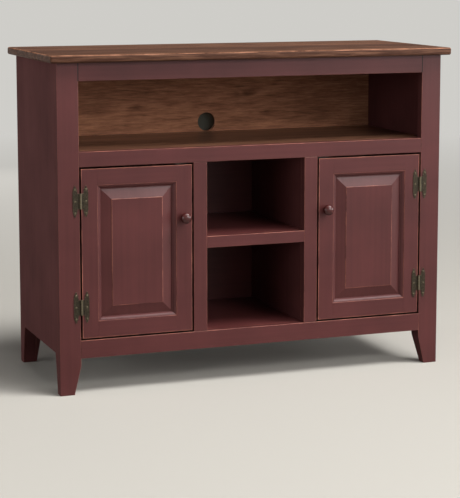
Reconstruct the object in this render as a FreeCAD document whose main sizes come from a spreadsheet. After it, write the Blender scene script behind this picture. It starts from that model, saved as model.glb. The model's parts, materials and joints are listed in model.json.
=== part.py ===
import FreeCAD, Part
import math
import os
import re

import Sketcher

# Media cabinet: painted face frame carcass on tapered feet, plank top, open media bay,
# two raised panel doors on surface hinges and an open middle bay.
# X runs along the front, Y to the back, Z up. The origin is on the floor, below the middle.

# Driving dimensions, all in millimetres
SIZES = {
    # carcass
    "body_width": "1028",
    "body_depth": "404",
    "body_height": "816",
    "side_thickness": "32",
    "side_clearance": "100",
    "shelf_thickness": "19",
    "divider_thickness": "19",
    "back_thickness": "8",
    "back_inset": "28",
    "dado_depth": "8",
    "divider_dado": "5",
    "joint_slack": "0.5",
    # face frame
    "frame_thickness": "22",
    "stile_width": "53",
    "top_rail_height": "45",
    "middle_rail_height": "37",
    "bottom_rail_height": "45",
    "centre_rail_height": "29",
    "mullion_width": "35",
    "centre_opening": "264",
    "floor_clearance": "90",
    "media_shelf_level": "600",
    "centre_shelf_level": "375",
    "tenon_length": "20",
    "tenon_thickness": "8",
    "tenon_shoulder": "7",
    "mullion_tenon": "15",
    "tenon_fit": "0.1",
    # feet
    "leg_depth": "45",
    "foot_depth": "26",
    "foot_width": "36",
    "foot_taper_height": "72",
    "rear_leg_width": "46",
    "rear_foot_width": "36",
    # top
    "top_thickness": "19",
    "top_side_overhang": "20",
    "top_front_overhang": "22",
    "top_back_overhang": "14",
    "top_corner_radius": "7",
    "top_edge_radius": "5",
    "cleat_width": "20",
    "cleat_height": "30",
    "rear_rail_thickness": "20",
    "rear_rail_height": "40",
    "top_screw_radius": "2.25",
    "top_screw_head_radius": "4.5",
    "top_screw_head_height": "2.5",
    "top_screw_bite": "12",
    # cable hole in the upper back panel
    "cable_hole_radius": "25",
    "cable_hole_rise": "26",
    # adjustable shelves behind the doors
    "adjustable_shelf_level": "372",
    "adjustable_shelf_setback": "34",
    "shelf_play": "1",
    "pin_row_inset": "60",
    "pin_pitch": "32",
    "pin_radius": "2.5",
    "pin_depth": "8",
    "pin_reach": "9",
    "pin_fit": "0.05",
    # doors
    "door_gap": "5",
    "door_thickness": "20",
    "door_frame_flat": "41",
    "sticking_width": "10",
    "sticking_quirk": "1.5",
    "sticking_depth": "7",
    "sticking_fullness": "0.95",
    "sticking_ledge": "2",
    "groove_front": "9",
    "groove_width": "5.5",
    "panel_play": "1",
    "panel_fit": "0.15",
    "panel_bevel": "26",
    "panel_field_drop": "0.5",
    "panel_field_step": "1.2",
    # knobs
    "knob_level": "427",
    "knob_reach": "27",
    "knob_head_radius": "13.8",
    "knob_dome_height": "10",
    "knob_neck_radius": "6",
    "knob_neck_start": "4.5",
    "knob_neck_reach": "7.5",
    "knob_cup_radius": "11",
    "knob_cup_reach": "11.5",
    "knob_foot_radius": "8",
    "knob_foot_height": "2",
    "knob_screw_radius": "2",
    "knob_screw_bite": "14",
    "knob_screw_head_radius": "4.5",
    "knob_screw_head_height": "2",
    # surface hinges
    "hinge_inset": "78",
    "leaf_length": "78",
    "leaf_width": "11.5",
    "leaf_start": "8",
    "leaf_thickness": "1.5",
    "leaf_straight": "48",
    "leaf_neck_width": "8",
    "leaf_neck_rise": "1.5",
    "leaf_lobe_radius": "5.2",
    "leaf_lobe_height": "8",
    "leaf_waist_width": "3.2",
    "leaf_spear_width": "5.4",
    "leaf_spear_rise": "1.6",
    "leaf_spear_radius": "9",
    "leaf_screw_pitch": "29",
    "barrel_length": "38",
    "barrel_radius": "3",
    "knuckle_gap": "0.3",
    "hinge_pin_radius": "1.5",
    "hinge_pin_fit": "0.02",
    "hinge_pin_clearance": "0.06",
    "hinge_screw_radius": "1.5",
    "hinge_screw_bite": "13",
    "hinge_screw_head_radius": "2.9",
    "hinge_screw_head_height": "0.9",
    "screw_fit": "0.05",
    # catches
    "catch_length": "30",
    "catch_ear": "8",
    "catch_ear_thickness": "3",
    "catch_depth": "18",
    "catch_height": "14",
    "catch_block_depth": "24",
    "catch_air": "0.3",
    "strike_length": "30",
    "strike_height": "9",
    "strike_thickness": "1.2",
    "strike_drop": "1",
}

# Sizes that follow from the driving ones, as expressions
FRONT = "(-(body_depth + top_back_overhang - knob_reach) / 2)"
FRAME_SPAN = "(body_width - 2 * stile_width)"
BACK_FACE = "(body_depth - back_inset - back_thickness)"
INSIDE_DEPTH = f"({BACK_FACE} - frame_thickness)"
BAY_FLOOR = "(floor_clearance + bottom_rail_height)"
BAY_CEILING = "(media_shelf_level - middle_rail_height)"
PANEL_UNDERSIDE = f"({BAY_FLOOR} - shelf_thickness)"
SHELF_UNDERSIDE = "(media_shelf_level - shelf_thickness)"
BACK_SPLIT = "(media_shelf_level - shelf_thickness / 2)"
MULLION_INNER = "(centre_opening / 2)"
MULLION_OUTER = f"({MULLION_INNER} + mullion_width)"
DADO_REACH = "(dado_depth - joint_slack)"
INSIDE_WIDTH = "(body_width - 2 * side_thickness)"
TENON_FACE = "((frame_thickness - tenon_thickness) / 2)"
DOOR_WIDTH = f"(body_width / 2 - stile_width - {MULLION_OUTER} - 2 * door_gap)"
DOOR_FOOT = f"({BAY_FLOOR} + door_gap)"
DOOR_HEIGHT = f"({BAY_CEILING} - {DOOR_FOOT} - door_gap)"
DOOR_FRAME = "(door_frame_flat + sticking_width)"
GROOVE_BACK = "(groove_front + groove_width)"
STICKING_RUN = "(sticking_width - sticking_ledge)"
STICKING_FALL = "(sticking_depth - sticking_quirk)"
STICKING_CHORD = f"({STICKING_RUN} * {STICKING_RUN} + {STICKING_FALL} * {STICKING_FALL})"
STICKING_RADIUS = f"({STICKING_CHORD} / (2 * {STICKING_FALL} * sticking_fullness))"
KNOB_X = f"({MULLION_OUTER} + door_gap + door_frame_flat / 2)"
HINGE_X = "(body_width / 2 - stile_width - door_gap / 2)"
HINGE_LEVELS = {
    "upper": f"({DOOR_FOOT} + {DOOR_HEIGHT} - hinge_inset)",
    "lower": f"({DOOR_FOOT} + hinge_inset)",
}
LEAF_CENTRE = "(leaf_start + leaf_width / 2)"
SCREW_ROWS = ("-leaf_screw_pitch", "0", "leaf_screw_pitch")
KNUCKLE_LENGTH = "((barrel_length - 2 * knuckle_gap) / 3)"
PIN_LEVEL = "(adjustable_shelf_level - shelf_thickness - pin_radius)"
PIN_ROWS = ("pin_row_inset", f"({INSIDE_DEPTH} - pin_row_inset)")
CATCH_BACK = "(door_thickness + strike_thickness + catch_air)"

# Small round pieces have flat sides in place of circles: screws and shelf pins a few, knobs more
FASTENER_SIDES = 8
KNOB_SIDES = 24
KNOB_DOME_RINGS = 5

# The mirrored halves: name and the side's sign along X
SIDES = {"left": -1, "right": 1}

doc = FreeCAD.newDocument("tv_cabinet")
sheet = doc.addObject("Spreadsheet::Sheet", "sizes")
for row, (alias, value) in enumerate(SIZES.items(), start=1):
    sheet.set(f"A{row}", alias)
    sheet.set(f"B{row}", value)
    sheet.setAlias(f"B{row}", alias)
doc.recompute()

sub_parts = []


def sized(text):
    """The expression with each size's name pointing at its cell."""
    return re.sub(r"[a-z_]+", lambda word: f"sizes.{word[0]}" if word[0] in SIZES else word[0], text)


def number(text):
    return float(sheet.evalExpression(sized(text)))


def bind(thing, path, text):
    thing.setExpression(path, sized(text))


def mirrored(text, way):
    return f"({text})" if way > 0 else f"(-({text}))"


def place(thing, x, y, z):
    """Puts a sub-part at x, z and at y behind the face frame's front."""
    bind(thing, "Placement.Base.x", x)
    bind(thing, "Placement.Base.y", f"{FRONT} + {y}")
    bind(thing, "Placement.Base.z", z)


def new_body(label, x, y, z):
    body = doc.addObject("PartDesign::Body", label)
    body.Label = label
    place(body, x, y, z)
    sub_parts.append(body)
    return body


def slab(body, x, y, z, way=1, cut=False):
    """Adds or cuts a box. Each axis has a start and a size, and way mirrors it along X."""
    kind = "SubtractiveBox" if cut else "AdditiveBox"
    box = body.newObject(f"PartDesign::{kind}", f"{body.Label}_{kind}")
    start = x[0] if way > 0 else f"-({x[0]} + {x[1]})"
    for path, text in (
        ("Length", x[1]),
        ("Width", y[1]),
        ("Height", z[1]),
        ("Placement.Base.x", start),
        ("Placement.Base.y", y[0]),
        ("Placement.Base.z", z[0]),
    ):
        bind(box, path, text)
    return box


def cylinder(body, radius, height, x, y, z, cut=False):
    """Adds or cuts an upright cylinder from the middle of its foot."""
    kind = "SubtractiveCylinder" if cut else "AdditiveCylinder"
    tube = body.newObject(f"PartDesign::{kind}", f"{body.Label}_{kind}")
    bind(tube, "Radius", radius)
    bind(tube, "Height", height)
    bind(tube, "Placement.Base.x", x)
    bind(tube, "Placement.Base.y", y)
    bind(tube, "Placement.Base.z", z)
    return tube


def new_sketch(body, plane, lift="0"):
    """A sketch on one of the body's origin planes, raised along the plane's normal."""
    sketch = body.newObject("Sketcher::SketchObject", f"{body.Label}_sketch")
    support = next(item for item in body.Origin.OriginFeatures if item.Role == f"{plane}_Plane")
    sketch.AttachmentSupport = [(support, "")]
    sketch.MapMode = "FlatFace"
    bind(sketch, "AttachmentOffset.Base.z", lift)
    return sketch


def add_bound_rules(sketch, rules):
    """Adds constraints to a sketch and binds each to its expression."""
    added = sketch.addConstraint([rule for rule, _ in rules])
    for index, (_, text) in zip(added, rules):
        bind(sketch, f"Constraints[{index}]", text)


def arc_through(start, end, radius, turn):
    """The short arc from start to end, left hand for turn 1 and right hand for turn -1."""
    chord = end - start
    half = chord.Length / 2
    reach = math.sqrt(max(radius * radius - half * half, 0.0))
    aside = FreeCAD.Vector(-chord.y, chord.x, 0).normalize()
    centre = start + chord * 0.5 + aside * (turn * reach)
    first, last = (start, end) if turn > 0 else (end, start)
    angles = [math.atan2(point.y - centre.y, point.x - centre.x) for point in (first, last)]
    return Part.ArcOfCircle(Part.Circle(centre, FreeCAD.Vector(0, 0, 1), radius), *angles)


def draw_outline(sketch, points, way=1):
    """A closed outline. A point is x, y, and after an arc also the arc's radius and turn."""
    first_index = sketch.GeometryCount
    places = [(mirrored(point[0], way), point[1]) for point in points]
    vectors = [FreeCAD.Vector(number(x), number(y), 0) for x, y in places]
    edges = []
    ends = []
    for step, point in enumerate(points):
        start, end = vectors[step - 1], vectors[step]
        if len(point) == 2:
            edges.append(Part.LineSegment(start, end))
            ends.append((1, 2))
        else:
            turn = point[3] * way
            edges.append(arc_through(start, end, number(point[2]), turn))
            ends.append((1, 2) if turn > 0 else (2, 1))
    sketch.addGeometry(edges)
    joins = []
    for step in range(len(points)):
        following = (step + 1) % len(points)
        joins.append(
            Sketcher.Constraint(
                "Coincident", first_index + step, ends[step][1], first_index + following, ends[following][0]
            )
        )
    sketch.addConstraint(joins)
    rules = []
    for step, point in enumerate(points):
        index = first_index + step
        for kind, axis in (("DistanceX", 0), ("DistanceY", 1)):
            rule = Sketcher.Constraint(kind, -1, 1, index, ends[step][1], vectors[step][axis])
            rules.append((rule, places[step][axis]))
        if len(point) == 4:
            rules.append((Sketcher.Constraint("Radius", index, number(point[2])), point[2]))
    add_bound_rules(sketch, rules)
    return sketch


def draw_circle(sketch, x, y, radius):
    centre = FreeCAD.Vector(number(x), number(y), 0)
    index = sketch.addGeometry(Part.Circle(centre, FreeCAD.Vector(0, 0, 1), number(radius)))
    rules = [
        (Sketcher.Constraint("DistanceX", -1, 1, index, 3, centre.x), x),
        (Sketcher.Constraint("DistanceY", -1, 1, index, 3, centre.y), y),
        (Sketcher.Constraint("Radius", index, number(radius)), radius),
    ]
    add_bound_rules(sketch, rules)


def extrude(body, sketch, length, reverse=False, cut=False, both_ways=False):
    """Pads or pockets a sketch."""
    feature = body.newObject("PartDesign::Pocket" if cut else "PartDesign::Pad", f"{body.Label}_extrusion")
    feature.Profile = sketch
    feature.Reversed = reverse
    if both_ways:
        feature.SideType = "Symmetric"
    bind(feature, "Length", length)
    return feature


def fastener_ring(x, y, radius):
    """Corners of a small fastener's section, or of its hole."""
    turns = [360 * step / FASTENER_SIDES for step in range(FASTENER_SIDES)]
    return [(f"{x} + ({radius}) * cos({turn} deg)", f"{y} + ({radius}) * sin({turn} deg)") for turn in turns]


def fastener_bar(radius, length, root, axis):
    """A straight run of a screw or pin, from the middle of its foot along an axis."""
    ring = [FreeCAD.Vector(number(x), number(y), 0) for x, y in fastener_ring("0", "0", radius)]
    section = Part.Face(Part.makePolygon(ring + ring[:1]))
    bar = section.extrude(FreeCAD.Vector(0, 0, number(length)))
    bar.Placement = FreeCAD.Placement(root, FreeCAD.Rotation(FreeCAD.Vector(0, 0, 1), axis))
    return bar


def drill(body, plane, lift, centres, radius, depth, reverse=False):
    """Fastener holes, cut against the plane's normal unless reversed."""
    sketch = new_sketch(body, plane, lift)
    for x, y in centres:
        draw_outline(sketch, fastener_ring(x, y, radius))
    return extrude(body, sketch, depth, reverse=reverse, cut=True)


def new_group(label, shapes):
    """Like pieces that share one sub-part, each its own solid."""
    group = doc.addObject("Part::Feature", label)
    group.Label = label
    group.Shape = Part.makeCompound(shapes)
    place(group, "0", "0", "0")
    sub_parts.append(group)


def tenon_height(rail_height):
    return f"({rail_height} - 2 * tenon_shoulder)"


def add_end_tenons(body, length, height):
    """Tenons on both ends of a rail that starts at its body's origin."""
    for start in ("-tenon_length", length):
        slab(
            body,
            (start, "tenon_length"),
            (TENON_FACE, "tenon_thickness"),
            ("tenon_shoulder", tenon_height(height)),
        )


def cut_mortise(body, x_start, foot, height, way):
    """A mortise for the tenon of a rail whose underside is at foot."""
    slab(
        body,
        (x_start, "tenon_length + joint_slack"),
        (f"{TENON_FACE} - tenon_fit", "tenon_thickness + 2 * tenon_fit"),
        (f"{foot} + tenon_shoulder - tenon_fit", f"{tenon_height(height)} + 2 * tenon_fit"),
        way,
        cut=True,
    )


# Face frame
def make_stile(name, side):
    """Front stile that runs down into a tapered foot, seen from its outer edge inwards."""
    way = -side
    body = new_body(f"{name}_stile", mirrored("body_width / 2", side), "0", "0")
    front = draw_outline(
        new_sketch(body, "XZ"),
        [
            ("0", "0"),
            ("foot_width", "0"),
            ("stile_width", "foot_taper_height"),
            ("stile_width", "body_height"),
            ("0", "body_height"),
        ],
        way,
    )
    extrude(body, front, "frame_thickness", reverse=True)
    rails = (
        ("floor_clearance", "bottom_rail_height"),
        (BAY_CEILING, "middle_rail_height"),
        ("body_height - top_rail_height", "top_rail_height"),
    )
    for foot, height in rails:
        cut_mortise(body, "stile_width - tenon_length - joint_slack", foot, height, way)
    screw_x = mirrored(f"stile_width + door_gap / 2 - {LEAF_CENTRE}", way)
    screws = [(screw_x, f"{level} + {row}") for level in HINGE_LEVELS.values() for row in SCREW_ROWS]
    drill(body, "XZ", "0", screws, "hinge_screw_radius + screw_fit", "hinge_screw_bite + joint_slack")


def make_frame_rail(label, foot, height):
    body = new_body(label, f"-{FRAME_SPAN} / 2", "0", foot)
    slab(body, ("0", FRAME_SPAN), ("0", "frame_thickness"), ("0", height))
    add_end_tenons(body, FRAME_SPAN, height)
    return body


def cut_mullion_mortises(body, foot):
    for side in SIDES.values():
        start = f"{MULLION_INNER} + tenon_shoulder - tenon_fit"
        width = "mullion_width - 2 * tenon_shoulder + 2 * tenon_fit"
        corner = f"{FRAME_SPAN} / 2 + {start}" if side > 0 else f"{FRAME_SPAN} / 2 - ({start} + {width})"
        slab(
            body,
            (corner, width),
            (f"{TENON_FACE} - tenon_fit", "tenon_thickness + 2 * tenon_fit"),
            (foot, "mullion_tenon + joint_slack"),
            cut=True,
        )


def make_face_frame():
    for name, side in SIDES.items():
        make_stile(name, side)
    make_frame_rail("top_rail", "body_height - top_rail_height", "top_rail_height")
    middle_rail = make_frame_rail("middle_rail", BAY_CEILING, "middle_rail_height")
    cut_mullion_mortises(middle_rail, "0")
    bottom_rail = make_frame_rail("bottom_rail", "floor_clearance", "bottom_rail_height")
    cut_mullion_mortises(bottom_rail, "bottom_rail_height - mullion_tenon - joint_slack")
    for name, side in SIDES.items():
        make_mullion(name, side)
    centre_rail = new_body(
        "centre_shelf_rail", f"-{MULLION_INNER}", "0", "centre_shelf_level - centre_rail_height"
    )
    slab(centre_rail, ("0", "centre_opening"), ("0", "frame_thickness"), ("0", "centre_rail_height"))
    add_end_tenons(centre_rail, "centre_opening", "centre_rail_height")


def make_mullion(name, side):
    """Upright beside the open middle bay, tenoned into the middle and bottom rails."""
    height = f"({BAY_CEILING} - {BAY_FLOOR})"
    body = new_body(f"{name}_mullion", mirrored(MULLION_INNER, side), "0", BAY_FLOOR)
    slab(body, ("0", "mullion_width"), ("0", "frame_thickness"), ("0", height), side)
    for start in ("-mullion_tenon", height):
        slab(
            body,
            ("tenon_shoulder", "mullion_width - 2 * tenon_shoulder"),
            (TENON_FACE, "tenon_thickness"),
            (start, "mullion_tenon"),
            side,
        )
    foot = f"(centre_shelf_level - centre_rail_height - {BAY_FLOOR})"
    cut_mortise(body, "0", foot, "centre_rail_height", side)


# Carcass
def pin_holes(foot):
    """Two rows of shelf pin holes, from the back of the face frame and the piece's own foot."""
    steps = ("-pin_pitch", "0", "pin_pitch")
    return [(row, f"{PIN_LEVEL} - {foot} + {step}") for row in PIN_ROWS for step in steps]


def make_side_panel(name, side):
    """Side panel, cut away below between its two tapered feet, grooved for floor, shelf and back."""
    way = -side
    depth = "(body_depth - frame_thickness)"
    body = new_body(f"{name}_side_panel", mirrored("body_width / 2", side), "frame_thickness", "0")
    profile = draw_outline(
        new_sketch(body, "YZ"),
        [
            ("0", "0"),
            ("foot_depth - frame_thickness", "0"),
            ("leg_depth - frame_thickness", "side_clearance"),
            (f"{depth} - leg_depth", "side_clearance"),
            (f"{depth} - foot_depth", "0"),
            (depth, "0"),
            (depth, "body_height"),
            ("0", "body_height"),
        ],
    )
    extrude(body, profile, "side_thickness", reverse=way < 0)
    dado = ("side_thickness - dado_depth", "dado_depth")
    for foot in (PANEL_UNDERSIDE, SHELF_UNDERSIDE):
        slab(body, dado, ("0", INSIDE_DEPTH), (foot, "shelf_thickness"), way, cut=True)
    back_groove = (PANEL_UNDERSIDE, f"body_height - {PANEL_UNDERSIDE}")
    slab(body, dado, (INSIDE_DEPTH, "back_thickness"), back_groove, way, cut=True)
    drill(
        body,
        "YZ",
        mirrored("side_thickness", way),
        pin_holes("0"),
        "pin_radius + pin_fit",
        "pin_depth + joint_slack",
        reverse=way < 0,
    )


def make_foot_block(label, side, y_start, depth, leg_width, foot_width, wedge):
    """Tapered block that fills a leg's inner corner below the floor panel."""
    way = -side
    body = new_body(label, mirrored("body_width / 2", side), y_start, "0")
    front = draw_outline(
        new_sketch(body, "XZ"),
        [
            ("side_thickness", "0"),
            (foot_width, "0"),
            (leg_width, "foot_taper_height"),
            (leg_width, PANEL_UNDERSIDE),
            ("side_thickness", PANEL_UNDERSIDE),
        ],
        way,
    )
    extrude(body, front, depth, reverse=True)
    taper = draw_outline(new_sketch(body, "YZ"), wedge)
    extrude(body, taper, f"4 * {leg_width}", cut=True, both_ways=True)


def make_foot_blocks():
    front_depth = "(leg_depth - frame_thickness)"
    front_wedge = [
        ("foot_depth - frame_thickness", "0"),
        (front_depth, "0"),
        (front_depth, "side_clearance"),
    ]
    rear_wedge = [("0", "0"), ("leg_depth - foot_depth", "0"), ("0", "side_clearance")]
    for name, side in SIDES.items():
        make_foot_block(
            f"{name}_front_foot_block", side, "frame_thickness", front_depth,
            "stile_width", "foot_width", front_wedge,
        )
        make_foot_block(
            f"{name}_rear_foot_block", side, "body_depth - leg_depth", "leg_depth",
            "rear_leg_width", "rear_foot_width", rear_wedge,
        )


def make_housed_panel(label, underside, dado_start):
    """Floor panel or media shelf, let into both sides, with a dado for each divider."""
    length = f"({INSIDE_WIDTH} + 2 * {DADO_REACH})"
    body = new_body(label, f"-{length} / 2", "frame_thickness", underside)
    slab(body, ("0", length), ("0", INSIDE_DEPTH), ("0", "shelf_thickness"))
    for corner in (f"{length} / 2 + {MULLION_INNER}", f"{length} / 2 - {MULLION_INNER} - divider_thickness"):
        slab(
            body,
            (corner, "divider_thickness"),
            ("0", INSIDE_DEPTH),
            (dado_start, "divider_dado"),
            cut=True,
        )


def make_divider(name, side):
    """Upright panel behind a mullion, flush with the mullion's edge in the middle bay."""
    foot = f"({BAY_FLOOR} - divider_dado)"
    body = new_body(f"{name}_divider", mirrored(MULLION_INNER, side), "frame_thickness", foot)
    height = f"{SHELF_UNDERSIDE} - {BAY_FLOOR} + 2 * divider_dado"
    slab(body, ("0", "divider_thickness"), ("0", INSIDE_DEPTH), ("0", height), side)
    slab(
        body,
        ("0", "divider_dado"),
        ("0", INSIDE_DEPTH),
        (f"centre_shelf_level - shelf_thickness - {foot}", "shelf_thickness"),
        side,
        cut=True,
    )
    drill(
        body,
        "YZ",
        mirrored("divider_thickness", side),
        pin_holes(foot),
        "pin_radius + pin_fit",
        "pin_depth + joint_slack",
        reverse=side < 0,
    )


def make_shelves():
    make_housed_panel("bottom_panel", PANEL_UNDERSIDE, "shelf_thickness - divider_dado")
    make_housed_panel("media_shelf", SHELF_UNDERSIDE, "0")
    for name, side in SIDES.items():
        make_divider(name, side)
    reach = f"({MULLION_INNER} + divider_dado - joint_slack)"
    shelf = new_body("centre_shelf", f"-{reach}", "frame_thickness", "centre_shelf_level - shelf_thickness")
    slab(shelf, ("0", f"2 * {reach}"), ("0", INSIDE_DEPTH), ("0", "shelf_thickness"))
    make_adjustable_shelves()


def make_adjustable_shelves():
    outer = "(body_width / 2 - side_thickness)"
    inner = f"({MULLION_INNER} + divider_thickness)"
    depth = f"{BACK_FACE} - adjustable_shelf_setback - shelf_play"
    pins = []
    for name, side in SIDES.items():
        x = mirrored(f"{outer} - shelf_play", side)
        level = "adjustable_shelf_level - shelf_thickness"
        shelf = new_body(f"{name}_adjustable_shelf", x, "adjustable_shelf_setback", level)
        length = f"{outer} - {inner} - 2 * shelf_play"
        slab(shelf, ("0", length), ("0", depth), ("0", "shelf_thickness"), -side)
        for wall, way in ((outer, -side), (inner, side)):
            for row in PIN_ROWS:
                root = FreeCAD.Vector(
                    number(f"{mirrored(wall, side)} - {mirrored('pin_depth', way)}"),
                    number(f"frame_thickness + {row}"),
                    number(PIN_LEVEL),
                )
                inwards = FreeCAD.Vector(way, 0, 0)
                pins.append(fastener_bar("pin_radius", "pin_depth + pin_reach", root, inwards))
    new_group("shelf_pins", pins)


def make_backs():
    """Two thin panels in the sides' grooves that meet behind the media shelf."""
    length = f"({INSIDE_WIDTH} + 2 * {DADO_REACH})"
    panels = (
        ("upper_back_panel", BACK_SPLIT, f"body_height - {BACK_SPLIT}"),
        ("lower_back_panel", PANEL_UNDERSIDE, f"{BACK_SPLIT} - {PANEL_UNDERSIDE}"),
    )
    for label, foot, height in panels:
        body = new_body(label, f"-{length} / 2", BACK_FACE, foot)
        slab(body, ("0", length), ("0", "back_thickness"), ("0", height))
        if label == "upper_back_panel":
            hole = new_sketch(body, "XZ")
            rise = f"media_shelf_level + cable_hole_rise - {foot}"
            draw_circle(hole, f"{length} / 2", rise, "cable_hole_radius")
            extrude(body, hole, "back_thickness", cut=True)


# Top and what holds it
def cleat_screw_points(side):
    """Three screws along a side's cleat, as x and y from the middle of the face frame's front."""
    run = f"({INSIDE_DEPTH} - rear_rail_thickness)"
    x = mirrored("body_width / 2 - side_thickness - cleat_width / 2", side)
    return [(x, f"frame_thickness + {run} * {share} / 6") for share in (1, 3, 5)]


def rear_screw_points():
    y = f"{BACK_FACE} - rear_rail_thickness / 2"
    return [(f"{INSIDE_WIDTH} * {share} / 3", y) for share in (-1, 0, 1)]


def outer_edges(shape, levels):
    """Names of the edges that lie flat at one of the levels."""
    names = []
    for index, edge in enumerate(shape.Edges, start=1):
        box = edge.BoundBox
        if any(abs(box.ZMin - level) + abs(box.ZMax - level) < 0.001 for level in levels):
            names.append(f"Edge{index}")
    return names


def make_top():
    """Plank top with rounded corners and arrises, drilled from below for its screws."""
    length = "(body_width + 2 * top_side_overhang)"
    depth = "(body_depth + top_front_overhang + top_back_overhang)"
    body = new_body("top_board", f"-{length} / 2", "-top_front_overhang", "body_height")
    round_corner = ("top_corner_radius", 1)
    board = draw_outline(
        new_sketch(body, "XY"),
        [
            ("top_corner_radius", "0", *round_corner),
            (f"{length} - top_corner_radius", "0"),
            (length, "top_corner_radius", *round_corner),
            (length, f"{depth} - top_corner_radius"),
            (f"{length} - top_corner_radius", depth, *round_corner),
            ("top_corner_radius", depth),
            ("0", f"{depth} - top_corner_radius", *round_corner),
            ("0", "top_corner_radius"),
        ],
    )
    pad = extrude(body, board, "top_thickness")
    doc.recompute()
    fillet = body.newObject("PartDesign::Fillet", "top_board_arris")
    fillet.Base = (pad, outer_edges(pad.Shape, (0.0, number("top_thickness"))))
    bind(fillet, "Radius", "top_edge_radius")
    points = [point for side in SIDES.values() for point in cleat_screw_points(side)] + rear_screw_points()
    holes = [(f"{x} + {length} / 2", f"{y} + top_front_overhang") for x, y in points]
    bite = "top_screw_bite + joint_slack"
    drill(body, "XY", "0", holes, "top_screw_radius + screw_fit", bite, reverse=True)


def make_top_fixings():
    for name, side in SIDES.items():
        x = mirrored("body_width / 2 - side_thickness", side)
        cleat = new_body(f"{name}_top_cleat", x, "frame_thickness", "body_height - cleat_height")
        run = f"{INSIDE_DEPTH} - rear_rail_thickness"
        slab(cleat, ("0", "cleat_width"), ("0", run), ("0", "cleat_height"), -side)
        holes = [
            (mirrored("cleat_width / 2", -side), f"{y} - frame_thickness")
            for _, y in cleat_screw_points(side)
        ]
        drill(cleat, "XY", "0", holes, "top_screw_radius + screw_fit", "cleat_height", reverse=True)
    foot = "body_height - rear_rail_height"
    rail = new_body("rear_top_rail", f"-{INSIDE_WIDTH} / 2", f"{BACK_FACE} - rear_rail_thickness", foot)
    slab(rail, ("0", INSIDE_WIDTH), ("0", "rear_rail_thickness"), ("0", "rear_rail_height"))
    holes = [(f"{x} + {INSIDE_WIDTH} / 2", "rear_rail_thickness / 2") for x, _ in rear_screw_points()]
    drill(rail, "XY", "0", holes, "top_screw_radius + screw_fit", "rear_rail_height", reverse=True)
    screws = []
    for side in SIDES.values():
        screws += [top_screw(x, y, "cleat_height") for x, y in cleat_screw_points(side)]
    screws += [top_screw(x, y, "rear_rail_height") for x, y in rear_screw_points()]
    new_group("top_screws", screws)


def top_screw(x, y, wood_height):
    """Screw that rises from under a cleat into the top."""
    up = FreeCAD.Vector(0, 0, 1)
    seat = FreeCAD.Vector(number(x), number(y), number(f"body_height - {wood_height}"))
    shank = fastener_bar("top_screw_radius", f"{wood_height} + top_screw_bite", seat, up)
    head_foot = seat - up * number("top_screw_head_height")
    head = fastener_bar("top_screw_head_radius", "top_screw_head_height", head_foot, up)
    return shank.fuse(head).removeSplitter()


# Doors
def sticking_curve(start, turn, swap=False, way=1):
    """Edge moulding from the frame's flat face down to its ledge, as outline points.

    The points run across the frame member, from its flat, and into the door's thickness.
    """
    points = [
        (start, "sticking_quirk"),
        (f"{start} + {way} * {STICKING_RUN}", "sticking_depth"),
        (f"{start} + {way} * sticking_width", "sticking_depth"),
        (f"{start} + {way} * sticking_width", "groove_front"),
    ]
    if swap:
        points = [(y, x) for x, y in points]
    points[1] = (*points[1], STICKING_RADIUS, turn)
    return points


def member_section(turn, swap=False, base="0", way=1):
    """Section of a door frame member with its moulding and panel groove.

    It starts at the outer edge. swap draws it with the thickness along the sketch's first axis.
    """
    flat = f"{base} + {way} * door_frame_flat"
    inner = f"{base} + {way} * {DOOR_FRAME}"
    before = [(base, "0"), (flat, "0")]
    after = [
        (flat, "groove_front"),
        (flat, GROOVE_BACK),
        (inner, GROOVE_BACK),
        (inner, "door_thickness"),
        (base, "door_thickness"),
    ]
    if swap:
        before = [(y, x) for x, y in before]
        after = [(y, x) for x, y in after]
    return before + sticking_curve(flat, turn, swap, way) + after


def make_door_stile(label, x, way, holes, hole_radius, hole_depth):
    """Upright of a door, drawn from its outer edge towards the panel."""
    body = new_body(label, x, "0", DOOR_FOOT)
    section = draw_outline(new_sketch(body, "XY"), member_section(1), way)
    extrude(body, section, DOOR_HEIGHT)
    drill(body, "XZ", "0", holes, hole_radius, hole_depth)


def make_door_rail(label, x, way, z, base, rise):
    """Rail between a door's stiles: stub tenons in their grooves, ends coped over their moulding."""
    length = f"({DOOR_WIDTH} - 2 * door_frame_flat)"
    body = new_body(label, x, "0", z)
    section = draw_outline(new_sketch(body, "YZ"), member_section(-rise, True, base, rise))
    extrude(body, section, length, reverse=way < 0)
    foot = "0" if rise > 0 else f"-{DOOR_FRAME}"
    for start in ("0", f"{length} - sticking_width"):
        slab(
            body,
            (start, "sticking_width"),
            (GROOVE_BACK, f"door_thickness - {GROOVE_BACK}"),
            (foot, DOOR_FRAME),
            way,
            cut=True,
        )
    copes = new_sketch(body, "XY")
    draw_outline(copes, sticking_curve("0", 1) + [("0", "groove_front")], way)
    draw_outline(copes, sticking_curve(length, -1, way=-1) + [(length, "groove_front")], way)
    extrude(body, copes, f"3 * {DOOR_FRAME}", cut=True, both_ways=True)


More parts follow.
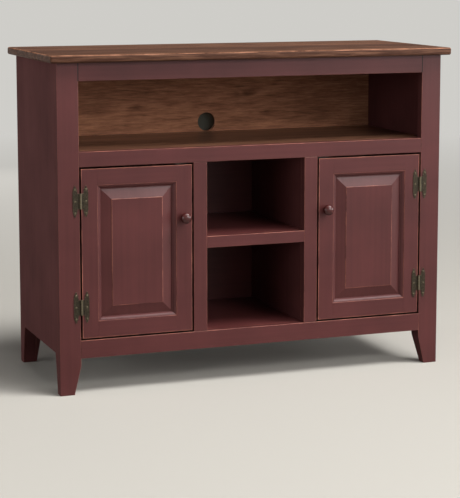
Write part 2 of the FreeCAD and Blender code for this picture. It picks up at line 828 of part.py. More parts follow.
def make_door_panel(label, x, way):
    """Raised panel: a tongue in the frame's groove, a wide bevel and a stepped field."""
    body = new_body(label, x, "0", DOOR_FOOT)
    tongue = "(door_frame_flat + panel_play)"
    slab(
        body,
        (tongue, f"{DOOR_WIDTH} - 2 * {tongue}"),
        ("groove_front + panel_fit", "groove_width - 2 * panel_fit"),
        (tongue, f"{DOOR_HEIGHT} - 2 * {tongue}"),
        way,
    )
    field = f"({DOOR_FRAME} + panel_bevel)"
    field_back = "(panel_field_drop + panel_field_step)"
    bevel = body.newObject("PartDesign::AdditiveWedge", f"{label}_bevel")
    bind(bevel, "Ymin", field_back)
    bind(bevel, "Ymax", "groove_front + panel_fit")
    for axis, size in (("X", DOOR_WIDTH), ("Z", DOOR_HEIGHT)):
        for face, inset in ((axis, field), (f"{axis}2", DOOR_FRAME)):
            near, far = inset, f"{size} - {inset}"
            if axis == "X" and way < 0:
                near, far = f"-({far})", f"-{near}"
            bind(bevel, f"{face}min", near)
            bind(bevel, f"{face}max", far)
    slab(
        body,
        (field, f"{DOOR_WIDTH} - 2 * {field}"),
        ("panel_field_drop", "panel_field_step"),
        (field, f"{DOOR_HEIGHT} - 2 * {field}"),
        way,
    )


def make_door(name, side):
    """Frame and raised panel door, drawn from its hinge edge towards its lock edge."""
    way = -side
    hinge_edge = "body_width / 2 - stile_width - door_gap"
    hinge_x = mirrored(hinge_edge, side)
    screw_x = mirrored(f"{LEAF_CENTRE} - door_gap / 2", way)
    screws = [
        (screw_x, f"{level} - {DOOR_FOOT} + {row}") for level in HINGE_LEVELS.values() for row in SCREW_ROWS
    ]
    make_door_stile(
        f"{name}_door_hinge_stile", hinge_x, way, screws,
        "hinge_screw_radius + screw_fit", "hinge_screw_bite + joint_slack",
    )
    knob_hole = [(mirrored("door_frame_flat / 2", side), f"knob_level - {DOOR_FOOT}")]
    make_door_stile(
        f"{name}_door_lock_stile", mirrored(f"{MULLION_OUTER} + door_gap", side), side, knob_hole,
        "knob_screw_radius + screw_fit", "door_thickness",
    )
    rail_x = mirrored(f"{hinge_edge} - door_frame_flat", side)
    make_door_rail(f"{name}_door_bottom_rail", rail_x, way, DOOR_FOOT, "0", 1)
    make_door_rail(f"{name}_door_top_rail", rail_x, way, f"{DOOR_FOOT} + {DOOR_HEIGHT}", "0", -1)
    make_door_panel(f"{name}_door_panel", hinge_x, way)


def turned_solid(stations, sides):
    """Closed solid round the Y axis, through rings given as radius and y, with flat sides."""
    turns = [2 * math.pi * step / sides for step in range(sides)]
    rings = [
        [FreeCAD.Vector(radius * math.cos(turn), y, radius * math.sin(turn)) for turn in turns]
        for radius, y in stations
    ]
    outlines = [rings[0], rings[-1]]
    for ring, following in zip(rings, rings[1:]):
        for step in range(sides):
            outlines.append([ring[step - 1], ring[step], following[step], following[step - 1]])
    faces = [Part.Face(Part.makePolygon(outline + outline[:1])) for outline in outlines]
    solid = Part.makeSolid(Part.makeShell(faces))
    solid.fix(0.0, 0.0, 0.0)
    return solid


def knob_stations():
    """Profile of a knob from its foot to the crown of its dome, as radius and y."""
    profile = [
        ("knob_foot_radius", "0"),
        ("knob_foot_radius", "knob_foot_height"),
        ("knob_neck_radius", "knob_neck_start"),
        ("knob_neck_radius", "knob_neck_reach"),
        ("knob_cup_radius", "knob_cup_reach"),
    ]
    stations = [(number(radius), -number(y)) for radius, y in profile]
    head_radius = number("knob_head_radius")
    dome_height = number("knob_dome_height")
    dome = (head_radius**2 + dome_height**2) / (2 * dome_height)
    rim = math.atan2(head_radius, dome - dome_height)
    for step in range(KNOB_DOME_RINGS):
        lean = rim * (1 - step / KNOB_DOME_RINGS)
        stations.append((dome * math.sin(lean), dome * (1 - math.cos(lean)) - number("knob_reach")))
    return stations


def make_knob(name, side):
    """Turned knob: a foot, a narrow neck, a flared cup and a domed head, drilled for its screw."""
    outwards = FreeCAD.Vector(0, -1, 0)
    bore = fastener_bar(
        "knob_screw_radius + screw_fit", "knob_screw_bite + joint_slack", FreeCAD.Vector(), outwards
    )
    knob = doc.addObject("Part::Feature", f"{name}_knob")
    knob.Label = f"{name}_knob"
    knob.Shape = turned_solid(knob_stations(), KNOB_SIDES).cut(bore)
    place(knob, mirrored(KNOB_X, side), "0", "knob_level")
    sub_parts.append(knob)
    make_knob_screw(name, side)


def make_knob_screw(name, side):
    """Machine screw through the lock stile into the knob."""
    body = new_body(f"{name}_knob_screw", mirrored(KNOB_X, side), "door_thickness", "knob_level")
    shank = draw_outline(new_sketch(body, "XZ"), fastener_ring("0", "0", "knob_screw_radius"))
    extrude(body, shank, "door_thickness + knob_screw_bite")
    head = draw_outline(new_sketch(body, "XZ"), fastener_ring("0", "0", "knob_screw_head_radius"))
    extrude(body, head, "knob_screw_head_height", reverse=True)


# Surface hinges
def leaf_outline():
    """Strip with a lobe round each end screw and a pointed tip, about the strip's middle."""
    straight = "leaf_straight / 2"
    neck = f"({straight} + leaf_neck_rise)"
    waist = f"({neck} + leaf_lobe_height)"
    spear = f"({waist} + leaf_spear_rise)"
    tip = "leaf_length / 2"
    rising = [
        ("leaf_width / 2", straight),
        ("leaf_neck_width / 2", neck),
        ("leaf_waist_width / 2", waist, "leaf_lobe_radius", 1),
        ("leaf_spear_width / 2", spear),
        ("0", tip, "leaf_spear_radius", 1),
        ("-leaf_spear_width / 2", spear, "leaf_spear_radius", 1),
        ("-leaf_waist_width / 2", waist),
        ("-leaf_neck_width / 2", neck, "leaf_lobe_radius", 1),
        ("-leaf_width / 2", straight),
    ]
    falling = [(f"-({point[0]})", f"-({point[1]})", *point[2:]) for point in rising]
    return rising + falling


def make_leaf(label, side, way, level, knuckles, bore):
    """Hinge leaf on the face, reaching from the barrel's axis along X by way."""
    body = new_body(label, mirrored(HINGE_X, side), "0", level)
    sketch = new_sketch(body, "XZ")
    centre = mirrored(LEAF_CENTRE, way)
    moved = [(f"{centre} + {point[0]}", *point[1:]) for point in leaf_outline()]
    draw_outline(sketch, moved)
    for row in SCREW_ROWS:
        draw_outline(sketch, fastener_ring(centre, row, "hinge_screw_radius + screw_fit"))
    extrude(body, sketch, "leaf_thickness")
    plate = ("-leaf_thickness", "leaf_thickness")
    bridge = "(barrel_radius + 2 * knuckle_gap)"
    slab(
        body,
        (bridge, f"leaf_start + leaf_width / 4 - {bridge}"),
        plate,
        ("-barrel_length / 2", "barrel_length"),
        way,
    )
    for foot in knuckles:
        slab(body, ("0", bridge), plate, (foot, KNUCKLE_LENGTH), way)
        cylinder(body, "barrel_radius", KNUCKLE_LENGTH, "0", "-barrel_radius", foot)
    cylinder(body, bore, "2 * barrel_length", "0", "-barrel_radius", "-barrel_length", cut=True)


def hinge_screw(x, z):
    """Screw whose head sits on a leaf."""
    inwards = FreeCAD.Vector(0, 1, 0)
    seat = FreeCAD.Vector(number(x), -number("leaf_thickness"), number(z))
    shank = fastener_bar("hinge_screw_radius", "leaf_thickness + hinge_screw_bite", seat, inwards)
    crown = seat - inwards * number("hinge_screw_head_height")
    head = fastener_bar("hinge_screw_head_radius", "hinge_screw_head_height", crown, inwards)
    return shank.fuse(head).removeSplitter()


def hinge_pin(side, level):
    """Plain pin through the knuckles of one hinge."""
    foot = FreeCAD.Vector(
        number(mirrored(HINGE_X, side)), -number("barrel_radius"), number(f"{level} - barrel_length / 2")
    )
    return Part.makeCylinder(number("hinge_pin_radius"), number("barrel_length"), foot)


def make_hinges():
    frame_knuckles = ("-barrel_length / 2", f"barrel_length / 2 - {KNUCKLE_LENGTH}")
    door_knuckle = (f"-{KNUCKLE_LENGTH} / 2",)
    pins = []
    frame_screws = []
    for name, side in SIDES.items():
        door_screws = []
        for rank, level in HINGE_LEVELS.items():
            stem = f"{name}_{rank}_hinge"
            frame_bore = "hinge_pin_radius + hinge_pin_fit"
            door_bore = "hinge_pin_radius + hinge_pin_clearance"
            make_leaf(f"{stem}_frame_leaf", side, side, level, frame_knuckles, frame_bore)
            make_leaf(f"{stem}_door_leaf", side, -side, level, door_knuckle, door_bore)
            pins.append(hinge_pin(side, level))
            for row in SCREW_ROWS:
                height = f"{level} + {row}"
                frame_screws.append(hinge_screw(mirrored(f"{HINGE_X} + {LEAF_CENTRE}", side), height))
                door_screws.append(hinge_screw(mirrored(f"{HINGE_X} - {LEAF_CENTRE}", side), height))
        new_group(f"{name}_door_hinge_screws", door_screws)
    new_group("frame_hinge_screws", frame_screws)
    new_group("hinge_pins", pins)


# Catches
def make_catches():
    """Magnetic catch under a packing block behind the middle rail, and a strike on each door's back."""
    blocks = []
    ears = "(catch_length + 2 * catch_ear)"
    for name, side in SIDES.items():
        block_corner = FreeCAD.Vector(
            number(f"{mirrored(KNOB_X, side)} - {ears} / 2"), number("frame_thickness"), number(BAY_CEILING)
        )
        block_height = number(f"{SHELF_UNDERSIDE} - {BAY_CEILING}")
        blocks.append(Part.makeBox(number(ears), number("catch_block_depth"), block_height, block_corner))
        x = mirrored(KNOB_X, side)
        catch = new_body(f"{name}_magnetic_catch", x, CATCH_BACK, f"{BAY_CEILING} - catch_height")
        slab(catch, ("-catch_length / 2", "catch_length"), ("0", "catch_depth"), ("0", "catch_height"))
        slab(
            catch,
            (f"-{ears} / 2", ears),
            ("catch_depth / 4", "catch_depth / 2"),
            ("catch_height - catch_ear_thickness", "catch_ear_thickness"),
        )
        strike_foot = f"{DOOR_FOOT} + {DOOR_HEIGHT} - strike_drop - strike_height"
        strike = new_body(f"{name}_strike_plate", x, "door_thickness", strike_foot)
        across = ("-strike_length / 2", "strike_length")
        slab(strike, across, ("0", "strike_thickness"), ("0", "strike_height"))
    new_group("catch_blocks", blocks)


def check_document():
    """Stops the build when a feature failed or a sub-part has no sound shape."""
    for thing in doc.Objects:
        if {"Invalid", "Error"} & set(thing.State):
            raise RuntimeError(f"{thing.Label} failed: {thing.State}")
    for piece in sub_parts:
        if piece.Shape.isNull() or not piece.Shape.isValid():
            raise RuntimeError(f"{piece.Label} has no valid shape")


def main():
    make_face_frame()
    for name, side in SIDES.items():
        make_side_panel(name, side)
    make_foot_blocks()
    make_shelves()
    make_backs()
    make_top()
    make_top_fixings()
    for name, side in SIDES.items():
        make_door(name, side)
        make_knob(name, side)
    make_hinges()
    make_catches()
    doc.recompute()
    check_document()
    os.makedirs("parts", exist_ok=True)
    for piece in sub_parts:
        piece.Shape.exportStep(f"parts/{piece.Label}.step")


main()
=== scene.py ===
import json
import math
from collections import namedtuple
from functools import partial, reduce

import bmesh
import bpy
from mathutils import Matrix, Vector


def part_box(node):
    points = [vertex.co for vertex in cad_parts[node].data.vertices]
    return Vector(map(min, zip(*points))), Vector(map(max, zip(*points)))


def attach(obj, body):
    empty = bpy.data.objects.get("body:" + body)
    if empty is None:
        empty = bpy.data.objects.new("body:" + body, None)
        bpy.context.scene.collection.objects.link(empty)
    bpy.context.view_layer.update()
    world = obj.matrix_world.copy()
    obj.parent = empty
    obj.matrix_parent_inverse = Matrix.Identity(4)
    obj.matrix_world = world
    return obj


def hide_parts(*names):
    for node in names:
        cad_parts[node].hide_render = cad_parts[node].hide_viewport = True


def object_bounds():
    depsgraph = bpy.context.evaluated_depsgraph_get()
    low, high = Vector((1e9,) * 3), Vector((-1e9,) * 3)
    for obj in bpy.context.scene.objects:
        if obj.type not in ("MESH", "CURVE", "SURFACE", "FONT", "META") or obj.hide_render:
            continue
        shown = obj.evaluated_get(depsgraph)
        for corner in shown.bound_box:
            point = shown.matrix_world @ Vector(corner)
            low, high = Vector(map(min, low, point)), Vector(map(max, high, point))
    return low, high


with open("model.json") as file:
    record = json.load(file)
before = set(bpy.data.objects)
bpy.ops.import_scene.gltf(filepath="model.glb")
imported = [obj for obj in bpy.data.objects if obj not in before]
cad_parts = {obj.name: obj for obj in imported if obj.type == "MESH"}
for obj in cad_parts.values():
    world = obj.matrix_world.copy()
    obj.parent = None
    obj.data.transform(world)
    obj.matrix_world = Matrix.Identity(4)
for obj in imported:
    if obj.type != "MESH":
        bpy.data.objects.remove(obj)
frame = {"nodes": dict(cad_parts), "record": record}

# Looks of the media cabinet: burgundy paint rubbed through along its edges, a stained plank top
# and media bay, aged brass hinges and turned knobs. Lengths are metres, in the part's own frame.

CAD_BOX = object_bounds()
NODES = frame["nodes"]
RECORD = frame["record"]
SLOT_OF = {piece["node"]: piece["material_slot"] for piece in RECORD["subparts"]}
CABLE_HOLE = next(mount for mount in RECORD["mounts"] if mount["name"] == "cable_hole")
SIDES = ("left", "right")
MM = 0.001

# The camera stands a little above the top, to the left of the middle
CAMERA_PLACE = (-1.5623, -4.1407, 1.0635)
CAMERA_YAW = 20.707
CAMERA_PITCH = 7.811
CAMERA_LENS = 123.0
CAMERA_SHIFT = -0.115

# A broad key comes from the right, low panels light the bays, the sides and the back, and a strip
# and a ceiling lamp give the sheen. Turn is degrees to the right of the front, rise is above level.
KEY_TURN = 57.0
KEY_RISE = 52.0
KEY_DISTANCE = 4.0
KEY_SPREAD = 22.0
KEY_STRENGTH = 2.3
Lamp = namedtuple("Lamp", "turn rise distance width height spread power")
LAMPS = {
    "front": Lamp(12.0, 12.0, 4.4, 4.6, 1.4, 180.0, 25.0),
    "three_quarter": Lamp(43.0, 10.0, 6.5, 3.2, 2.2, 180.0, 86.0),
    "left": Lamp(-62.0, 8.0, 4.4, 2.0, 1.5, 180.0, 26.0),
    "side": Lamp(-95.0, 8.0, 4.4, 2.0, 1.5, 180.0, 31.0),
    "right": Lamp(68.0, 8.0, 4.4, 2.2, 1.4, 70.0, 10.0),
    "strip": Lamp(23.0, 27.0, 4.2, 1.6, 0.6, 180.0, 56.0),
    "ceiling": Lamp(18.0, 66.0, 5.5, 3.5, 2.2, 180.0, 130.0),
    "back": Lamp(172.0, 0.0, 4.6, 2.4, 0.5, 100.0, 13.0),
}

# Even light all round, a floor that fades into the background between two distances, and a small
# dark card close behind the cable hole: painted shade, so that the hole shows shade
SURROUND = 0.06
FLOOR_SIZE = 90.0
FLOOR_NEAR = 1.2
FLOOR_FAR = 6.0
SHADE_CARD_SIZE = 0.11
SHADE_CARD_GAP = 0.02

# Softened arrises: their widths, and the angles from which an edge is sharp, crisp or not flat
FRAME_ARRIS = 0.8 * MM
DOOR_ARRIS = 0.35 * MM
METAL_ARRIS = 0.25 * MM
ARRIS_SEGMENTS = 2
SHARP_ANGLE = math.radians(35)
CRISP_ANGLE = math.radians(8)
FLAT_ANGLE = math.radians(0.5)

# Points closer than this are one, in a solid's faces and in a new mesh
SOLID_WELD = 0.01 * MM
MESH_WELD = 0.001 * MM

# Members of the face frame, and of a door with the axis that each runs along
FACE_FRAME = (
    "left_stile", "right_stile", "top_rail", "middle_rail", "bottom_rail",
    "left_mullion", "right_mullion", "centre_shelf_rail",
)
DOOR_MEMBERS = {"hinge_stile": "Z", "lock_stile": "Z", "top_rail": "X", "bottom_rail": "X"}

# Rubbed bands: width along a door's rim and along finer edges, and how far inside the door its flat
# frame ends and inside the panel its raised field starts
DOOR_RUB = 1.6 * MM
FIELD_RUB = 0.9 * MM
DOOR_FLAT = 41 * MM
FIELD_INSET = 35 * MM

# Share of the finish that is rubbed away, from the least to the most
FRAME_WEAR = (0.2, 0.85)
INNER_WEAR = (0.0, 0.4)
RIM_WEAR = (0.15, 0.85)
FIELD_WEAR = (0.05, 0.8)
TOP_WEAR = (0.0, 0.5)
MOULDING_WEAR = 0.6

# Painted shade on the edges round the doors, within a reach, where the gaps fall dark, and painted shade in
# lines along the face frame's joints
EDGE_REACH = (0.1 * MM, 0.4 * MM)
DOOR_GAP_SHADE = 0.6
OPENING_GAP_SHADE = 0.75
JOINT_LINE = 1.9 * MM
JOINT_SHADE = {"top_rail": 0.95, "middle_rail": 0.3, "bottom_rail": 0.3}

# The hinges' barrels stand this far to each side of the middle, and have this radius
HINGE_AXIS = abs(RECORD["behaviour"]["joints"][0]["pos_m"][0])
BARREL = 3 * MM
# How much paler the barrels are: rubbing, and a painted highlight
BARREL_RUB_AND_HIGHLIGHT = 0.2

# Stained wood: joints of the top's and the shelf's planks in Y, how far apart in the pattern two
# planks are cut, and knots in the media bay's back as x, z and size
TOP_JOINTS = (-0.090, 0.006, 0.106)
SHELF_JOINTS = (-0.075, 0.045)
PLANK_SHIFT = (9.0, 3.0, 5.0)
PLANK_CONTRAST = 0.10
BACK_KNOTS = ((-0.200, 0.668, 0.010), (0.177, 0.648, 0.011), (0.122, 0.700, 0.012))
KNOT_STRETCH = 0.45

# The top's rounded outer edges and chamfered joints, and its finishes after the first
TOP_EDGE = 5 * MM
PLANK_CHAMFER = 0.5 * MM
ARC_STEPS = 6
TOP_SIDE_INDEX = 1
TOP_WORN_INDEX = 2

# A turned knob: a foot with eased edges, a hollow that narrows to the neck, a flare and a dome
KNOB_STEPS = 40
FOOT_RADIUS = 8.0 * MM
FOOT_HEIGHT = 2.0 * MM
FOOT_LOWER_EASE = 0.6 * MM
FOOT_UPPER_EASE = 0.5 * MM
HOLLOW_INSET = 0.9 * MM
HOLLOW_LENGTH = 5.0 * MM
HOLLOW_STEPS = 8
NECK_RADIUS = 5.8 * MM
FLARE_STEPS = 10
DOME_HEIGHT = 10.5 * MM
DOME_STEPS = 14

# Domed, slotted screw heads with the start of a shank, each turned its own way
SCREW_STEPS = 20
SCREW_RINGS = 5
HEAD_HEIGHT = 0.9 * MM
SHANK_SHOWN = 3 * MM
SHANK_SHARE = 0.5
SLOT_WIDTH = 0.8 * MM
SLOT_DEPTH = 0.55 * MM
SLOT_FLOOR = 0.02 * MM
DOME_FOOT = 0.01 * MM
CUT_REACH = 0.0001 * MM
FIRST_SCREW_TURN = 37
NEXT_SCREW_TURN = 71


def srgb(red, green, blue):
    """A colour from its screen values, 0 to 255."""

    def linear(value):
        share = value / 255
        return share / 12.92 if share <= 0.04045 else ((share + 0.055) / 1.055) ** 2.4

    return (linear(red), linear(green), linear(blue), 1.0)


PAINT_DARK = srgb(74, 36, 35)
PAINT_LIGHT = srgb(90, 47, 46)
PAINT_WORN = srgb(198, 128, 106)
# Painted shade: near-black paint for the door gaps and the face frame's joints
PAINT_SHADE = srgb(9, 4, 4)
KNOB_DARK = srgb(62, 23, 21)
KNOB_LIGHT = srgb(78, 31, 29)
STAIN_DARK = srgb(70, 43, 31)
STAIN_MIDDLE = srgb(117, 81, 62)
STAIN_LIGHT = srgb(152, 103, 78)
STAIN_PALE = srgb(188, 131, 99)
STAIN_WORN = srgb(204, 146, 116)
STAIN_PORE = srgb(34, 18, 11)
BARE_DARK = srgb(168, 124, 78)
BARE_LIGHT = srgb(206, 168, 118)
BRASS_DARK = srgb(25, 20, 15)
BRASS_LIGHT = srgb(48, 41, 32)
# Rubbed brass, which also gives the barrels their painted highlight
BRASS_RUBBED_AND_HIGHLIGHT = srgb(186, 172, 140)
# Patina and painted shade beside the hinges' barrels
BRASS_PATINA_AND_SHADE = srgb(22, 17, 13)
STEEL_DARK = srgb(120, 122, 124)
STEEL_LIGHT = srgb(186, 188, 190)
PLASTIC_DARK = srgb(62, 42, 30)
PLASTIC_LIGHT = srgb(84, 58, 42)
FLOOR_COLOUR = srgb(188, 184, 176)
FLOOR_BOUNCE = srgb(64, 56, 51)
# Painted shade: the dark card's colour behind the cable hole
SHADE_CARD_COLOUR = srgb(82, 84, 77)
BACKGROUND = (0.62, 0.61, 0.58, 1.0)
BLACK = (0.0, 0.0, 0.0, 1.0)
WHITE = (1.0, 1.0, 1.0, 1.0)


def configure(thing, settings):
    """Sets a thing's properties by name."""
    for key, value in settings.items():
        setattr(thing, key, value)


def show(thing):
    """Puts a new object into the scene."""
    bpy.context.scene.collection.objects.link(thing)


def span(points):
    """Lowest and highest corner of some points."""
    low = Vector(min(point[axis] for point in points) for axis in range(3))
    high = Vector(max(point[axis] for point in points) for axis in range(3))
    return low, high


def quarter_turn(steps):
    """Angles from 0 to 90 degrees in equal steps."""
    return [math.radians(90 * step / steps) for step in range(steps + 1)]


class Nodes:
    """Short names for the nodes of a material or of the world."""

    def __init__(self, owner):
        owner.use_nodes = True
        self.tree = owner.node_tree

    def add(self, kind, sockets=None, **settings):
        """A new node, with its settings and then its inputs."""
        node = self.tree.nodes.new(kind)
        configure(node, settings)
        self.feed(node, sockets or {})
        return node

    def feed(self, node, sockets):
        """Sets a node's inputs: a node's output is linked and anything else is its value."""
        for key, value in sockets.items():
            if isinstance(value, bpy.types.NodeSocket):
                self.tree.links.new(value, node.inputs[key])
            else:
                node.inputs[key].default_value = value

    def math(self, operation, first, second=0.0, third=0.0):
        sockets = {0: first, 1: second, 2: third}
        return self.add("ShaderNodeMath", sockets, operation=operation).outputs[0]

    def total(self, first, second):
        return self.math("ADD", first, second)

    def less(self, first, second):
        return self.math("SUBTRACT", first, second)

    def product(self, first, second):
        return self.math("MULTIPLY", first, second)

    def larger(self, first, second):
        return self.math("MAXIMUM", first, second)

    def smaller(self, first, second):
        return self.math("MINIMUM", first, second)

    def size(self, value):
        return self.math("ABSOLUTE", value)

    def apart(self, first, second):
        """How far two values are from each other."""
        return self.size(self.less(first, second))

    def seen(self):
        """1 to the eye, in gloss and through clear surfaces, and 0 where light is thrown back."""
        path = self.add("ShaderNodeLightPath").outputs
        direct = self.larger(path["Is Camera Ray"], path["Is Glossy Ray"])
        return self.larger(direct, path["Is Transmission Ray"])


class Finish(Nodes):
    """A material under construction: its shader and short names for the nodes that feed it."""

    def __init__(self, name):
        self.material = bpy.data.materials.new(name)
        super().__init__(self.material)
        self.shader = self.tree.nodes["Principled BSDF"]
        coordinates = self.add("ShaderNodeTexCoord").outputs
        self.place = coordinates["Object"]
        self.normal = coordinates["Normal"]

    def set(self, **sockets):
        """Sets the shader's inputs, written with _ for the spaces in their names."""
        self.feed(self.shader, {key.replace("_", " "): value for key, value in sockets.items()})

    def remap(self, value, low, high, to_low=0.0, to_high=1.0):
        """Carries a value from one range to another, and holds it there."""
        return self.add(
            "ShaderNodeMapRange",
            {"Value": value, "From Min": low, "From Max": high, "To Min": to_low, "To Max": to_high},
        ).outputs[0]

    def fade(self, value, start, end, most=1.0):
        """Falls from the most to nothing while a value goes from start to end."""
        return self.remap(value, start, end, most, 0.0)

    def blend(self, first, second, share):
        """Two values added, the first with its share and the second with the rest."""
        return self.total(self.product(first, share), self.product(second, 1.0 - share))

    def mix(self, share, first, second):
        """A colour between two others."""
        node = self.add("ShaderNodeMix", {0: share, 6: first, 7: second}, data_type="RGBA")
        return node.outputs[2]

    def ramp(self, value, *stops):
        """Colour along a value, from stops of place and colour."""
        node = self.add("ShaderNodeValToRGB", {"Fac": value})
        elements = node.color_ramp.elements
        while len(elements) < len(stops):
            elements.new(0.5)
        for element, (place, colour) in zip(elements, stops):
            element.position = place
            element.color = colour
        return node.outputs[0]

    def vector(self, operation, first, second):
        return self.add("ShaderNodeVectorMath", {0: first, 1: second}, operation=operation).outputs[0]

    def drawn(self, vector, axis, on_axis, off_axis):
        """Coordinates scaled one way along an axis and another way across it."""
        scale = [on_axis if name == axis else off_axis for name in "XYZ"]
        return self.add("ShaderNodeMapping", {"Vector": vector, "Scale": scale}).outputs[0]

    def noise(self, vector, scale=1.0, detail=2.0, roughness=0.5, distortion=0.0):
        sockets = {"Vector": vector, "Scale": scale, "Detail": detail}
        sockets.update({"Roughness": roughness, "Distortion": distortion})
        return self.add("ShaderNodeTexNoise", sockets).outputs[0]

    def axes(self, vector):
        """X, Y and Z of a vector."""
        return self.add("ShaderNodeSeparateXYZ", {0: vector}).outputs

    def bump(self, height, strength, distance):
        sockets = {"Height": height, "Strength": strength, "Distance": distance}
        return self.add("ShaderNodeBump", sockets).outputs[0]


# Paint, its wear and its painted shade
def painted_finish(name, axis, wear=None, painted_shade=None):
    """Burgundy paint brushed along an axis, satin but for its sides.

    Wear and painted shade are functions of the finish. They give how much bare wood shows, and how far the
    paint is darkened to stand in for shade.
    """
    finish = Finish(name)
    brush = finish.noise(finish.drawn(finish.place, axis, 3.0, 120.0), detail=4.0, roughness=0.6)
    hairs = finish.noise(finish.drawn(finish.place, axis, 14.0, 900.0), detail=2.0)
    cloud = finish.noise(finish.place, scale=6.0, detail=3.0)
    tone = finish.blend(brush, cloud, 0.3)
    colour = finish.mix(finish.remap(tone, 0.34, 0.66), PAINT_DARK, PAINT_LIGHT)
    if wear:
        colour = finish.mix(wear(finish), colour, PAINT_WORN)
    # Painted shade: the paint darkens towards near-black where gaps and joints fall into shade
    if painted_shade:
        colour = finish.mix(painted_shade(finish), colour, PAINT_SHADE)
    relief = finish.total(brush, finish.product(hairs, 0.35))
    sideways = finish.size(finish.axes(finish.normal)[0])
    dulled = finish.remap(sideways, 0.8, 0.95, 0.0, 0.5)
    finish.set(
        Base_Color=colour,
        Roughness=finish.total(finish.remap(tone, 0.3, 0.7, 0.40, 0.31), dulled),
        Normal=finish.bump(relief, 0.3, 0.25 * MM),
        Specular_IOR_Level=0.24,
    )
    return finish.material


def rubbed_patches(finish, amounts):
    """Uneven rubbing, between the least and the most amount."""
    patches = finish.noise(finish.place, scale=19.0, detail=5.0, roughness=0.65)
    return finish.remap(patches, 0.40, 0.62, *amounts)


def arris_wear(axis, amounts):
    """Wear of the arrises along an axis, most of it on top, with a piece's ends left painted."""

    def wear(finish):
        facing = finish.axes(finish.normal)
        end = finish.size(facing["XYZ".index(axis)])
        kept = finish.fade(end, 0.2, 0.45)
        upper = finish.remap(facing[2], -0.5, 0.5, 0.25, 1.0)
        return finish.product(rubbed_patches(finish, amounts), finish.product(kept, upper))

    return wear


def nearest_side(finish, low, high):
    """Distance inwards from the nearest side of a rectangle in X and Z."""
    x, _, z = finish.axes(finish.place)
    across = finish.smaller(finish.less(x, low.x), finish.less(high.x, x))
    upright = finish.smaller(finish.less(z, low.z), finish.less(high.z, z))
    return finish.smaller(across, upright)


def rim_wear(low, high):
    """Wear of a door's front rim and of the edge where its flat frame meets the moulding."""

    def wear(finish):
        inwards = nearest_side(finish, low, high)
        rim = finish.fade(inwards, 0.3 * DOOR_RUB, DOOR_RUB)
        off = finish.apart(inwards, DOOR_FLAT)
        moulding = finish.fade(off, 0.4 * FIELD_RUB, FIELD_RUB, MOULDING_WEAR)
        depth = finish.axes(finish.place)[1]
        front = finish.fade(depth, low.y + 0.5 * DOOR_RUB, low.y + 1.5 * DOOR_RUB)
        near = finish.product(finish.larger(rim, moulding), front)
        return finish.product(near, rubbed_patches(finish, RIM_WEAR))

    return wear


def field_wear(low, high):
    """Wear along the front edge of a raised field, inside the panel's box."""
    inset = Vector((FIELD_INSET, 0, FIELD_INSET))

    def wear(finish):
        off = finish.size(nearest_side(finish, low + inset, high - inset))
        near = finish.fade(off, 0.4 * FIELD_RUB, FIELD_RUB)
        front = finish.math("LESS_THAN", finish.axes(finish.normal)[1], -0.5)
        return finish.product(finish.product(near, front), rubbed_patches(finish, FIELD_WEAR))

    return wear


def edge_gap_shade(finish, off, front, amount):
    """Painted shade on faces that lie off an edge by nearly nothing, behind the arris at the front, where a
    gap falls dark.
    """
    edge = finish.fade(off, *EDGE_REACH)
    depth = finish.axes(finish.place)[1]
    behind = finish.remap(depth, front + 0.6 * DOOR_RUB, front + 1.6 * DOOR_RUB, 0.0, amount)
    return finish.product(edge, behind)


def door_gap_shade(low, high):
    """Painted shade on the edges of a door, behind its front arris, where the gap falls dark."""

    def painted_shade(finish):
        return edge_gap_shade(finish, nearest_side(finish, low, high), low.y, DOOR_GAP_SHADE)

    return painted_shade


def door_opening(side):
    """The face frame's opening for a door, as its lower left and upper right corners."""
    edges = [corner.x for member in ("stile", "mullion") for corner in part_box(f"{side}_{member}")]
    left, right = sorted(edges)[1:3]
    foot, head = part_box("bottom_rail")[1].z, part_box("middle_rail")[0].z
    return Vector((left, 0, foot)), Vector((right, 0, head))


def opening_gap_shade(finish):
    """Painted shade on the face frame's edges round both doors, behind its front arris, where the gaps fall
    dark.
    """
    offs = [finish.size(nearest_side(finish, *door_opening(side))) for side in SIDES]
    return edge_gap_shade(finish, finish.smaller(*offs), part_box("left_stile")[0].y, OPENING_GAP_SHADE)


def joint_shade_lines(finish):
    """Painted shade along the face frame's joints, as dark lines where the open joints fall into shade. The
    mullions end below the top rail.
    """
    x, _, z = finish.axes(finish.place)
    out = finish.size(x)
    stile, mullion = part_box("right_stile"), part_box("right_mullion")

    def line(place, joint):
        return finish.fade(finish.apart(place, joint), 0.3 * JOINT_LINE, JOINT_LINE)

    def within(place, low, high):
        return finish.math("COMPARE", place, (low + high) / 2, (high - low) / 2)

    beside_stile = line(out, stile[0].x)
    on_mullion = within(out, mullion[0].x, mullion[1].x)
    lines = 0.0
    for rail, amount in JOINT_SHADE.items():
        low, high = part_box(rail)
        shown = finish.product(beside_stile, within(z, low.z, high.z))
        if rail != "top_rail":
            level = finish.larger(line(z, low.z), line(z, high.z))
            shown = finish.larger(shown, finish.product(on_mullion, level))
        lines = finish.larger(lines, finish.product(shown, amount))
    return lines


def frame_shade(finish):
    """All the painted shade on the face frame, in the gaps round the doors and along its joints."""
    return finish.larger(opening_gap_shade(finish), joint_shade_lines(finish))


def paint_set(ending, axes, amounts=None, painted_shade=None):
    """Paint brushed along each of some axes, with arrises rubbed by amounts."""
    paints = {}
    for axis in axes:
        wear = arris_wear(axis, amounts) if amounts else None
        paints[axis] = painted_finish(f"paint_{axis.lower()}{ending}", axis, wear, painted_shade)
    return paints


# Stained wood
def plank_number(finish, position, joints):
    """Which plank a position across the planks lies on."""
    number = 0.0
    for joint in joints:
        number = finish.total(finish.math("GREATER_THAN", position, joint), number)
    return number


